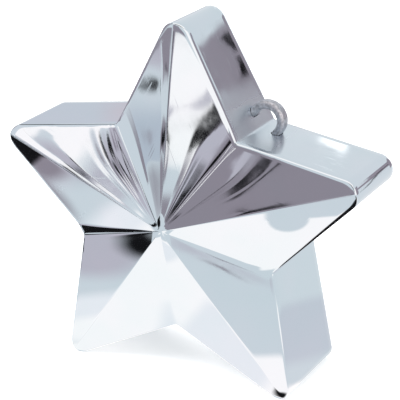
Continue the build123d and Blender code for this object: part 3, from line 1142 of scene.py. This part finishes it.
# Cards that lie level: name, x, y, height above the floor, turn, width, length, tone, softness, oval
FLAT_CARDS = (
    ("floor pool", -0.0055, -0.031, 0.0004, 0, 0.060, 0.070, "white", 0.06, False),
    ("floor middle pool", -0.042, -0.026, 0.0005, 0, 0.026, 0.052, "white", 0.6, False),
    ("floor left pool", -0.056, -0.026, 0.0003, 0, 0.034, 0.060, "shade", 0.6, False),
    ("floor notch pool", 0.0226, -0.0501, 0.0005, -13, 0.008, 0.024, "white", 0.3, False),
    ("floor right pool", 0.031, -0.021, 0.0006, 0, 0.026, 0.046, "white", 0.3, False),
    ("floor shade card", 0.008, -0.0175, 0.0008, 0, 0.038, 0.020, "shade", 0.3, False),
    ("floor shade spot", -0.031, -0.034, 0.0008, 0, 0.014, 0.010, "shade", 0.5, True),
    ("floor lilac card", -0.100, -0.044, 0.0006, 0, 0.056, 0.05, "lilac", 0.6, True),
    ("floor far card", -0.305, -0.164, 0.0004, 28, 0.22, 0.072, "dark", 0.6, False),
    ("floor ridge card", -0.143, -0.150, 0.0005, 22, 0.13, 0.09, "black", 0.2, False),
    ("floor lilac strip", -0.088, -0.0225, 0.0007, 7, 0.046, 0.007, "dark", 0.9, True),
    ("floor dark card", -0.101, -0.029, 0.0008, 0, 0.030, 0.014, "dark", 0.7, True),
    ("floor black flag", -0.104, -0.0655, 0.0008, 22, 0.042, 0.025, "black", 0.7, True),
    ("floor tip card", -0.121, -0.029, 0.001, 0, 0.036, 0.021, "black", 0.2, False),
    ("floor streak card", -0.1545, -0.070, 0.001, 0, 0.083, 0.046, "black", 0.1, False),
    ("floor right card", 0.052, 0.042, 0.0006, 0, 0.07, 0.070, "haze", 0.4, True),
    ("floor rim card", 0.115, -0.020, 0.0004, 0, 0.08, 0.12, "white", 0.3, False),
    ("raised pool", 0.0368, -0.0192, 0.0346, 0, 0.0264, 0.0174, "white", 0.1, False),
    ("raised pale spot", 0.0316, -0.0273, 0.0349, 0, 0.0116, 0.0098, "pale", 0.2, True),
    # A black card floating beside the right point, below its lower rim, is painted shade of the floor
    # next to the star, which the rim mirrors as a dark line.
    ("raised rim painted shade", 0.0564, -0.0164, 0.0352, -44, 0.056, 0.0292, "black", 0.05, False),
    ("floor front card", -0.024, -0.104, 0.0004, 0, 0.04, 0.05, "white", 0.3, False),
    ("floor front strip", 0.037, -0.125, 0.0004, -28.5, 0.018, 0.076, "lilac", 0.5, False),
    ("floor front line", 0.0313, -0.116, 0.0006, -26.5, 0.0018, 0.040, "dark", 0.9, True),
    # A black oval on the floor behind the star is painted shadow of the star, which the right point's
    # lower wall mirrors as a dark sliver.
    ("floor rear painted shadow", -0.010, 0.096, 0.0008, 0, 0.05, 0.08, "black", 0.4, True),
    # A black spot on the floor by the right foot is painted contact shadow, which the foot's rounded tip
    # mirrors as a dark mark.
    ("floor foot painted shadow", 0.030, -0.012, 0.0008, 0, 0.008, 0.006, "black", 0.6, True),
)


class WEIGHT_OT_stage(bpy.types.Operator):
    """Sets up the camera, the pale floor, soft light and the cards that the plating mirrors"""

    bl_idname = "weight.stage"
    bl_label = "Studio stage"

    def execute(self, context):
        context.scene.view_settings.view_transform = "Standard"
        self.add_camera(context)
        self.add_world(context)
        self.add_floor(context)
        self.add_lamps(context)
        self.add_cards(context)
        return {"FINISHED"}

    def add_camera(self, context):
        """The camera, turned to its target."""
        stage = context.scene.weight_stage
        data = bpy.data.cameras.new("camera")
        data.lens = stage.lens
        data.sensor_width = SENSOR_WIDTH
        data.clip_start = CLIP_START
        camera = bpy.data.objects.new("camera", data)
        back = direction(stage.azimuth, stage.elevation)
        camera.location = Vector(stage.target) + back * stage.distance
        camera.rotation_euler = (-back).to_track_quat("-Z", "Y").to_euler()
        context.scene.collection.objects.link(camera)
        context.scene.camera = camera

    def seen(self, tree, path):
        """1 for what the camera or a mirror sees, 0 for light."""
        value = path.outputs["Is Camera Ray"]
        for kind in ("Is Glossy Ray", "Is Transmission Ray"):
            inputs = {0: value, 1: path.outputs[kind]}
            value = add_node(tree, "Math", inputs, operation="MAXIMUM").outputs["Value"]
        return value

    def add_world(self, context):
        """A white room, which lights the weight less than it shows."""
        world = bpy.data.worlds.new("studio")
        tree = empty_tree(world)
        output = add_node(tree, "OutputWorld")
        seen = self.seen(tree, add_node(tree, "LightPath"))
        strength = spread(tree, seen, low=ROOM_LIGHT, high=1.0, start=0.0, end=1.0)
        light = add_node(tree, "Background", {"Color": WHITE, "Strength": strength})
        tree.links.new(light.outputs[0], output.inputs["Surface"])
        context.scene.world = world

    def add_floor(self, context):
        """A pale paper floor, which takes a faint shadow and shows white in the plating."""
        finish = bpy.data.materials.new("floor")
        tree = empty_tree(finish)
        output = add_node(tree, "OutputMaterial")
        path = add_node(tree, "LightPath")
        paper = add_node(tree, "BsdfDiffuse", {"Color": PAPER}).outputs[0]
        glow = add_node(tree, "Emission", {"Color": WHITE, "Strength": PAPER_GLOW}).outputs[0]
        glowing = add_node(tree, "AddShader", {0: paper, 1: glow}).outputs[0]
        bare = add_node(tree, "MixShader", {0: self.seen(tree, path), 1: paper, 2: glowing}).outputs[0]
        mirrored = add_node(tree, "Emission", {"Color": WHITE, "Strength": 1.0}).outputs[0]
        is_mirrored = path.outputs["Is Glossy Ray"]
        surface = add_node(tree, "MixShader", {0: is_mirrored, 1: bare, 2: mirrored})
        tree.links.new(surface.outputs[0], output.inputs["Surface"])
        level = Matrix.Translation((0, 0, FLOOR_LEVEL))
        stage_object(context, "floor", flat_mesh("floor", FLOOR_SIZE, FLOOR_SIZE, level), finish)

    def add_lamps(self, context):
        """Square lamps that the plating does not mirror."""
        for name, azimuth, elevation, distance, size, power in LAMPS:
            data = bpy.data.lights.new(name, "AREA")
            data.shape = "SQUARE"
            data.size = size
            data.energy = power
            lamp = bpy.data.objects.new(name, data)
            lamp.matrix_world = facing(azimuth, elevation, distance)
            lamp.visible_glossy = False
            context.scene.collection.objects.link(lamp)

    def add_cards(self, context):
        """The cards that give the facets their light and dark fields."""
        for name, azimuth, elevation, wide, tall, tone, softness, roll, distance in STANDING_CARDS:
            place = facing(azimuth, elevation, distance, roll)
            width, height = arc_size(wide, distance), arc_size(tall, distance)
            add_card(context, name, place, width, height, tone, softness)
        for name, x, y, level, turn, width, height, tone, softness, oval in FLAT_CARDS:
            place = Matrix.Translation((x, y, level)) @ Matrix.Rotation(radians(turn), 4, "Z")
            add_card(context, name, place, width, height, tone, softness, oval)


class WEIGHT_PT_panel(bpy.types.Panel):
    """Lists the weight's pieces and its stage"""

    bl_idname = "WEIGHT_PT_panel"
    bl_label = "Star balloon weight"
    bl_space_type = "VIEW_3D"
    bl_region_type = "UI"
    bl_category = "Weight"

    def draw(self, context):
        for kind in OPERATORS:
            self.layout.operator(kind.bl_idname)


GROUPS = {
    "weight_star": StarSizes,
    "weight_cover": CoverSizes,
    "weight_loop": LoopSizes,
    "weight_finishes": Finishes,
    "weight_stage": StageSettings,
}
OPERATORS = (
    WEIGHT_OT_shell,
    WEIGHT_OT_ribbon_loop,
    WEIGHT_OT_back_cover,
    WEIGHT_OT_fill_plug,
    WEIGHT_OT_filling,
    WEIGHT_OT_stage,
)


def register():
    for kind in (*GROUPS.values(), *OPERATORS, WEIGHT_PT_panel):
        bpy.utils.register_class(kind)
    for name, kind in GROUPS.items():
        setattr(bpy.types.Scene, name, PointerProperty(type=kind))


def unregister():
    for name in GROUPS:
        delattr(bpy.types.Scene, name)
    for kind in (WEIGHT_PT_panel, *reversed(OPERATORS), *reversed(list(GROUPS.values()))):
        bpy.utils.unregister_class(kind)


def main():
    register()
    bpy.ops.weight.stage()
    bpy.ops.weight.shell()
    bpy.ops.weight.ribbon_loop()
    bpy.ops.weight.back_cover()
    bpy.ops.weight.fill_plug()
    bpy.ops.weight.filling()


if __name__ == "__main__":
    main()
